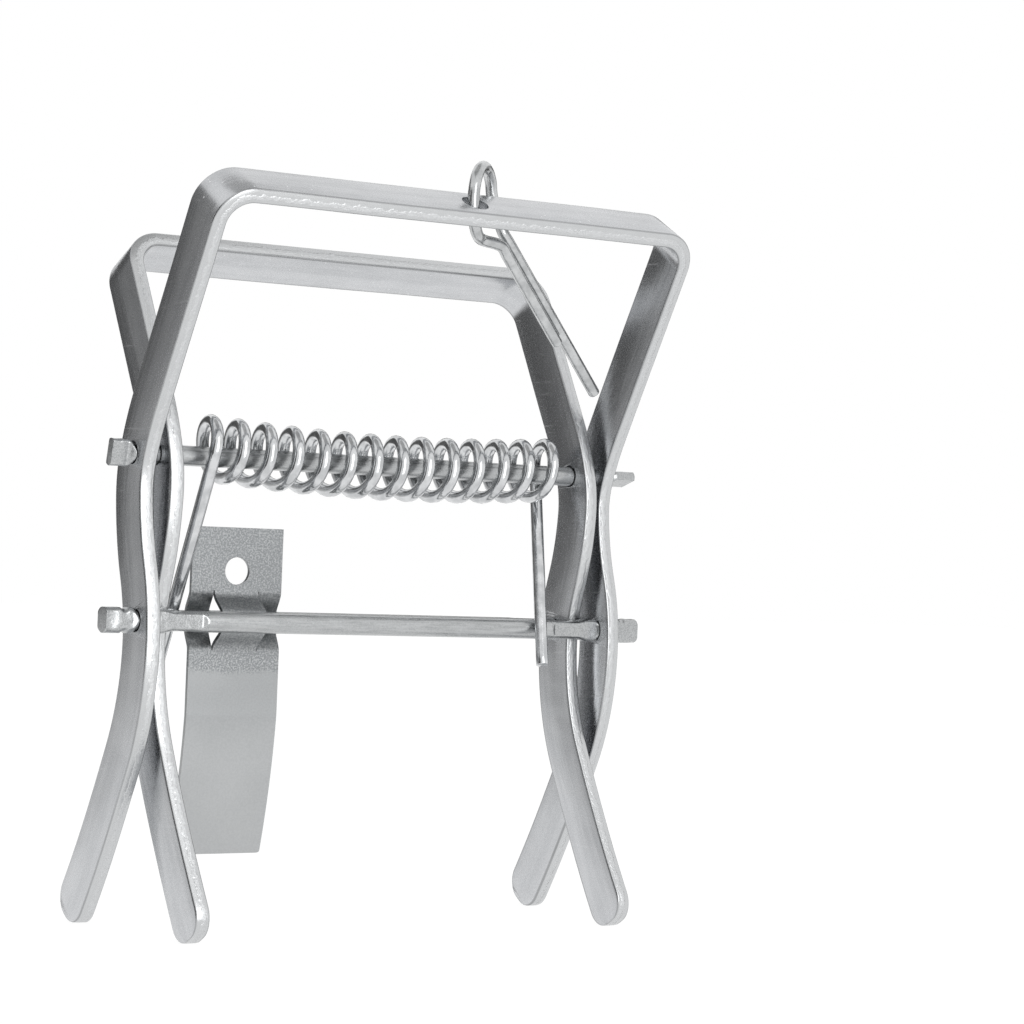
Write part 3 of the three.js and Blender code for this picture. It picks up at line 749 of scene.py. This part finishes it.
def makeSpring():
    s = spring
    bm = bmesh.new()
    rise = math.atan2(springPitch, 2 * math.pi * s["radius"])
    start = pivot + Vector((springRight, s["radius"], 0)) * mm
    inward = Vector((-math.sin(rise), 0, math.cos(rise)))
    first = wireRing(bm, start, inward, s["wire"] / 2 * mm, s["sides"])
    steps = round(springTurns * s["stepsPerTurn"])
    travel = -sideways * springPitch * springTurns * mm
    last = pull(bm, first, pivot, sideways, 2 * math.pi * springTurns, steps, travel)
    for v in bm.verts:
        v.co.z += springLift(v.co.x)
    beside = outerRod["diameter"] / 2 + s["wire"] / 2 + slack
    rightX = innerInside - s["rightInset"] - s["rightLegIn"]
    rightFoot = outerRodPlace - deep * beside + sideways * rightX
    leftFoot = innerRodPlace + deep * beside + sideways * (springLeft - s["leftLegOut"])
    springLeg(bm, first, -inward, rightFoot, s["rightBelow"])
    outward = Vector((-math.sin(rise), 0, -math.cos(rise)))
    springLeg(bm, last, outward, leftFoot, s["leftBelow"])
    return finishPiece("torsionSpring", bm, ["spring"], None, "torsion_spring",
                       softBelow["wire"])


coil = makeSpring()
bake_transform(coil)
print("spring wound")


# Trigger plate: a sheet with a strap pressed out between two slits

plate = {"width": 26.0, "thickness": 1.0, "inset": 10.65, "behindRod": 1.3,
         "head": 23.5, "tongue": 59.0, "curl": 6.0, "curlFrom": 0.4, "curlBend": 0.55,
         "strap": 12.6, "kerf": 0.25, "reach": 7.5, "bowFlat": 0.22, "bandBow": 2.1, "strapBow": -4.7,
         "hole": 7.0, "holeHigh": 12.6,
         "holeBox": (3.78, 3.48), "corner": 2.0, "wornEdge": 0.12, "wornAbove": 50, "flatAbove": 20.0,
         "bandColumns": 6, "strapColumns": 10, "rows": 166, "cornerSegments": 4, "wornSegments": 2}


def plateBow(height):  # share of the full bow round the rod at a height
    return 1 - smoothShare(abs(height) / plate["reach"], plate["bowFlat"], 1.0)


def plateCurl(height):
    start, bend = plate["curlFrom"] * plate["tongue"], plate["curlBend"]
    share = max(0.0, (-height - start) / (plate["tongue"] - start))
    return plate["curl"] * (bend * share * share + (1 - bend) * share)


def plateColumns():  # left band, strap and right band, with a slit's width between them
    half, strap, kerf = plate["width"] / 2, plate["strap"] / 2, plate["kerf"]
    columns = []
    for left, right, count in ((-half, -strap - kerf, plate["bandColumns"]),
                               (-strap, strap, plate["strapColumns"]),
                               (strap + kerf, half, plate["bandColumns"])):
        columns += [left + (right - left) * i / count for i in range(count + 1)]
    return columns


def flatSheet(bm):  # a grid whose columns and rows lie where the plate needs them, in millimetres
    columns, rows = plateColumns(), plate["rows"]
    bmesh.ops.create_grid(bm, x_segments=len(columns) - 1, y_segments=rows, size=1)
    for v in bm.verts:
        column = round((v.co.x + 1) / 2 * (len(columns) - 1))
        row = round((v.co.y + 1) / 2 * rows)
        height = -plate["tongue"] + (plate["head"] + plate["tongue"]) * row / rows
        v.co = Vector((columns[column], 0, height))


def clearFaces(bm, wanted):
    gone = [face for face in bm.faces if wanted(face.calc_center_median())]
    bmesh.ops.delete(bm, geom=gone, context="FACES")


def roundHole(bm):  # clear a box of the flat grid and draw the grid round it in to a circle
    wide, high = plate["holeBox"]

    def boxShare(place):
        return max(abs(place.x) / wide, abs(place.z - plate["holeHigh"]) / high)

    clearFaces(bm, lambda middle: boxShare(middle) < 1)
    outer = plate["strap"] / 2 / wide
    for v in bm.verts:
        share = (boxShare(v.co) - 1) / (outer - 1)
        if share < 1:
            middle = Vector((0, v.co.y, plate["holeHigh"]))
            rim = middle + (v.co - middle).normalized() * plate["hole"] / 2
            v.co = rim.lerp(v.co, max(0.0, share))


def pressStrap(bm):  # the bands bow one way and the strap the other, with a slit on either side of it
    strap = plate["strap"] / 2
    for v in bm.verts:
        bow = plate["strapBow"] if abs(v.co.x) < strap + near else plate["bandBow"]
        v.co.y = bow * plateBow(v.co.z) + plateCurl(v.co.z)
    clearFaces(bm, lambda middle: strap < abs(middle.x) < strap + plate["kerf"]
               and abs(middle.z) < plate["reach"])


def roundCorners(bm):  # the tongue's two lower corners
    low = []
    for v in bm.verts:
        atEnd = v.co.z < -plate["tongue"] + near
        if v.is_boundary and atEnd and abs(abs(v.co.x) - plate["width"] / 2) < near:
            low.append(v)
    bmesh.ops.bevel(bm, geom=low, offset=plate["corner"], segments=plate["cornerSegments"], profile=0.5,
                    affect="VERTICES", material=-1)


def hangPlate(bm):  # the middle of its flat top lies a little behind the inner rod's axis
    middle = -(innerInside - plate["inset"] - plate["width"] / 2)
    place = crossing + (innerRodPlace + sideways * middle + deep * plate["behindRod"]) * mm
    bmesh.ops.transform(bm, matrix=Matrix.Translation(place) @ Matrix.Scale(mm, 4), verts=bm.verts)
    flat = [v.co.y for v in bm.verts if v.co.z > place.z + plate["flatAbove"] * mm]
    bmesh.ops.translate(bm, vec=(0, place.y - (min(flat) + max(flat)) / 2, 0), verts=bm.verts)


def makePlate():
    bm = bmesh.new()
    flatSheet(bm)
    roundHole(bm)
    pressStrap(bm)
    roundCorners(bm)
    bmesh.ops.recalc_face_normals(bm, faces=bm.faces)
    bmesh.ops.solidify(bm, geom=bm.faces[:], thickness=plate["thickness"])
    bmesh.ops.recalc_face_normals(bm, faces=bm.faces)
    hangPlate(bm)
    piece = finishPiece("triggerPlate", bm, ["sheet"], "trigger", "trigger_plate",
                        softBelow["sheet"])
    bevel = piece.modifiers.new("worn edges", "BEVEL")
    bevel.width = plate["wornEdge"] * mm
    bevel.segments = plate["wornSegments"]
    bevel.limit_method = "ANGLE"
    bevel.angle_limit = math.radians(plate["wornAbove"])


makePlate()
print("plate pressed")


# Catch wire: a long leg, an oval eye through the top bar and a short tail

catch = {"wire": 3.0, "clear": 0.85, "eyeTurn": 37.0, "eyeRise": 2.5, "eyeHalf": 9.1,
         "eyeStart": 15.0, "eyeSweep": 255.0, "eyeKnots": 10,
         "legOut": (14.4, 7.5, -3.9), "tipBack": 20.9, "tipDrop": 42.2,
         "tail": 34.0, "tailSide": (-0.56, -0.44, -0.7), "bend": 3.0, "endRound": 0.35, "rimAbove": 70,
         "bendSteps": 8, "legSteps": 12, "tailSteps": 8, "sideSteps": 6, "endSegments": 3}


def catchPath():  # from the crossing, in millimetres
    c = catch
    turned, lean = math.radians(c["eyeTurn"]), math.radians(jawLeg["lean"])
    behind = halfWide + c["wire"] / 2 + c["clear"]
    back = (behind - c["eyeRise"] * math.sin(lean)) / math.cos(lean)
    wide = back / math.sin(turned) / 2
    across = Vector((math.cos(turned), math.sin(turned), 0))
    middle = catchHole + across * wide + upright * c["eyeRise"]
    tipSide = innerInside - slack - c["wire"] / 2
    tip = Vector((tipSide, catchHole.y + c["tipBack"], catchHole.z - c["tipDrop"]))
    start = catchHole + Vector(c["legOut"])
    along = (tip - start).normalized()
    side = Vector(c["tailSide"])
    side = (side - along * side.dot(along)).normalized()
    tailStart = start + along * c["bend"] / 2 + side * (c["wire"] + c["clear"])
    eye = []
    for i in range(c["eyeKnots"] + 1):
        angle = math.radians(c["eyeStart"] + c["eyeSweep"] * i / c["eyeKnots"])
        eye.append(middle + across * wide * math.cos(angle) + upright * c["eyeHalf"] * math.sin(angle))
    knots = [start + along * c["bend"], start, *eye, tailStart, tailStart + along * c["bend"]]
    return tip, knots, tailStart + along * c["tail"]


def between(a, b, low, high, t):
    return a * ((high - t) / (high - low)) + b * ((t - low) / (high - low))


def roundPath(knots, steps):  # centripetal curve through the knots
    first = knots[0] + (knots[0] - knots[1])
    last = knots[-1] + (knots[-1] - knots[-2])
    points = [first, *knots, last]
    made = []
    for a, b, c, d in zip(points, points[1:], points[2:], points[3:]):
        t0 = 0.0
        t1 = t0 + (b - a).length ** 0.5
        t2 = t1 + (c - b).length ** 0.5
        t3 = t2 + (d - c).length ** 0.5
        for step in range(steps):
            t = t1 + (t2 - t1) * step / steps
            ab = between(a, b, t0, t1, t)
            bc = between(b, c, t1, t2, t)
            cd = between(c, d, t2, t3, t)
            abc = between(ab, bc, t0, t2, t)
            bcd = between(bc, cd, t1, t3, t)
            made.append(between(abc, bcd, t1, t2, t))
    return [*made, knots[-1]]


def wireAlong(points):  # the catch wire's mesh along a list of places
    curve = bpy.data.curves.new("catchPath", "CURVE")
    curve.dimensions = "3D"
    curve.bevel_depth = catch["wire"] / 2 * mm
    curve.bevel_resolution = catch["sideSteps"]
    curve.use_fill_caps = True
    line = curve.splines.new("POLY")
    line.points.add(len(points) - 1)
    for point, place in zip(line.points, points):
        point.co = (*place, 1)
    holder = linked("catchPath", curve)
    bpy.context.view_layer.update()
    graph = bpy.context.evaluated_depsgraph_get()
    mesh = bpy.data.meshes.new_from_object(holder.evaluated_get(graph))
    bpy.data.objects.remove(holder)
    bm = bmesh.new()
    bm.from_mesh(mesh)
    bpy.data.meshes.remove(mesh)
    bmesh.ops.remove_doubles(bm, verts=bm.verts, dist=mergeWithin * mm)
    return bm


def makeCatch():
    tip, knots, tailEnd = catchPath()
    bends = roundPath(knots, catch["bendSteps"])
    leg = [tip.lerp(bends[0], i / catch["legSteps"]) for i in range(catch["legSteps"])]
    tail = [bends[-1].lerp(tailEnd, (i + 1) / catch["tailSteps"]) for i in range(catch["tailSteps"])]
    bm = wireAlong([crossing + point * mm for point in [*leg, *bends, *tail]])
    rimAngle = math.radians(catch["rimAbove"])
    rims = [e for e in bm.edges if len(e.link_faces) == 2 and e.calc_face_angle(0) > rimAngle]
    bmesh.ops.bevel(bm, geom=rims, offset=catch["endRound"] * mm, segments=catch["endSegments"],
                    profile=0.5, affect="EDGES", material=-1)
    finishPiece("catchWire", bm, ["wire"], "catch", "catch_wire", softBelow["wire"])


makeCatch()
print("catch wire bent")


# Camera

photoView = {"azimuth": 34.69695, "pitch": 0.58665, "roll": 2.24962, "lens": 113.9086, "sensor": 36,
             "place": (-443.8739, -698.8760, 98.2712), "nearest": 20, "farthest": 20000}


def makeCamera():
    azimuth, pitch, roll = [math.radians(photoView[key]) for key in ("azimuth", "pitch", "roll")]
    level = Vector((math.sin(azimuth), math.cos(azimuth), 0))
    ahead = level * math.cos(pitch) + upright * math.sin(pitch)
    right = level.cross(upright)
    above = right.cross(ahead)
    rolledRight = right * math.cos(roll) + above * math.sin(roll)
    rolledUp = -right * math.sin(roll) + above * math.cos(roll)
    data = bpy.data.cameras.new("photoCamera")
    data.lens = photoView["lens"]
    data.sensor_width = photoView["sensor"]
    data.clip_start = photoView["nearest"] * mm
    data.clip_end = photoView["farthest"] * mm
    camera = linked("photoCamera", data)
    turn = Matrix((rolledRight, rolledUp, -ahead)).transposed().to_4x4()
    camera.matrix_world = Matrix.Translation(Vector(photoView["place"]) * mm) @ turn
    bpy.context.scene.camera = camera


makeCamera()


# Studio, where the flags are glowing cards that only metal sees

white = (1, 1, 1, 1)
studio = {"floorSize": 6000, "floorColour": (0.92, 0.92, 0.92, 1), "floorGlow": 1.1,
          "floorGlowShare": 0.82, "worldForLight": 0.75,
          "foldDepth": 0.5, "foldSize": (0.03, 0.03, 0.002)}
lamp = {"place": (-10, -500, 250), "target": (-10, 0, 250), "size": (260, 500), "watts": 0.95}
flags = {  # a flag's glow is the first value below its two heights and the second one above them
    "leftLegFlag": {"middle": (-288, 210, 200), "facing": (0.62, -0.78, 0), "size": (225, 400),
                    "heights": (-60, 200), "glow": (0.8, 0.27)},
    "rightLegFlag": {"middle": (-112, 350, 200), "facing": (0.62, -0.78, 0), "size": (225, 400),
                     "heights": (10, 95), "glow": (0.95, 0.12)},
    "overheadFlag": {"middle": (0, 0, 600), "facing": (0, 0, -1), "size": (400, 400),
                     "heights": (0, 1), "glow": (0.5, 0.5)},
    "backRightFlag": {"middle": (383, 321, 165), "facing": (-0.766, -0.642, 0), "size": (500, 330),
                      "heights": (0, 1), "glow": (0.08, 0.08)},
    "leftFlag": {"middle": (-446, -63, 200), "facing": (0.99, 0.14, 0), "size": (350, 400),
                 "heights": (0, 1), "glow": (0.1, 0.1)},
}


def sheetObject(name, place, finish):  # a unit square, put in its place by a matrix
    bm = bmesh.new()
    bmesh.ops.create_grid(bm, x_segments=1, y_segments=1, size=0.5, matrix=place)
    made = meshObject(name, bm)
    made.data.materials.append(finish.holder)
    return made


def makeFloor():
    f = Finish("whiteFloor")
    matt = f.node("BsdfDiffuse", {}, {"Color": studio["floorColour"]})
    bright = f.node("Emission", {}, {"Color": white, "Strength": studio["floorGlow"]})
    shader = f.node("MixShader", {}, {0: f.seen() * studio["floorGlowShare"], 1: matt, 2: bright})
    f.node("OutputMaterial", {}, {"Surface": shader})
    floor = sheetObject("floor", Matrix.Scale(studio["floorSize"] * mm, 4), f)


def makeFlag(name, flag):
    f = Finish(name + "Grey")
    place = f.place()
    below, above = flag["glow"]
    depth = studio["foldDepth"]
    folds = f.noise(f.stretched(place, studio["foldSize"]), 1.0, 2.0, 0.6).ramp(0.35, 0.65)
    glow = f.height(place).ramp(*flag["heights"]) * (above - below) + below
    strength = glow * (folds * depth + (1 - depth / 2))
    bright = f.node("Emission", {}, {"Color": white, "Strength": strength})
    f.node("OutputMaterial", {}, {"Surface": bright})
    turn = Vector(flag["facing"]).to_track_quat("Z", "Y").to_matrix().to_4x4()
    size = Matrix.Diagonal((*flag["size"], 1, 1)) @ Matrix.Scale(mm, 4)
    card = sheetObject(name, Matrix.Translation(Vector(flag["middle"]) * mm) @ turn @ size, f)
    card.visible_camera = False
    card.visible_diffuse = False
    card.visible_shadow = False


def makeWorld():
    world = bpy.data.worlds.new("studioWorld")
    bpy.context.scene.world = world
    f = Finish("studioWorld", world)
    forLight = studio["worldForLight"]
    sky = f.node("Background", {}, {"Color": white, "Strength": f.seen() * (1 - forLight) + forLight})
    f.node("OutputWorld", {}, {"Surface": sky})


def makeLamp():
    data = bpy.data.lights.new("front", "AREA")
    data.shape = "RECTANGLE"
    data.size, data.size_y = [length * mm for length in lamp["size"]]
    data.energy = lamp["watts"]
    made = linked("front", data)
    place, target = Vector(lamp["place"]) * mm, Vector(lamp["target"]) * mm
    made.location = place
    made.rotation_euler = (target - place).to_track_quat("-Z", "Y").to_euler()


makeFloor()
for name, flag in flags.items():
    makeFlag(name, flag)
makeWorld()
makeLamp()
bpy.context.scene.view_settings.view_transform = "Standard"
print("studio lit")
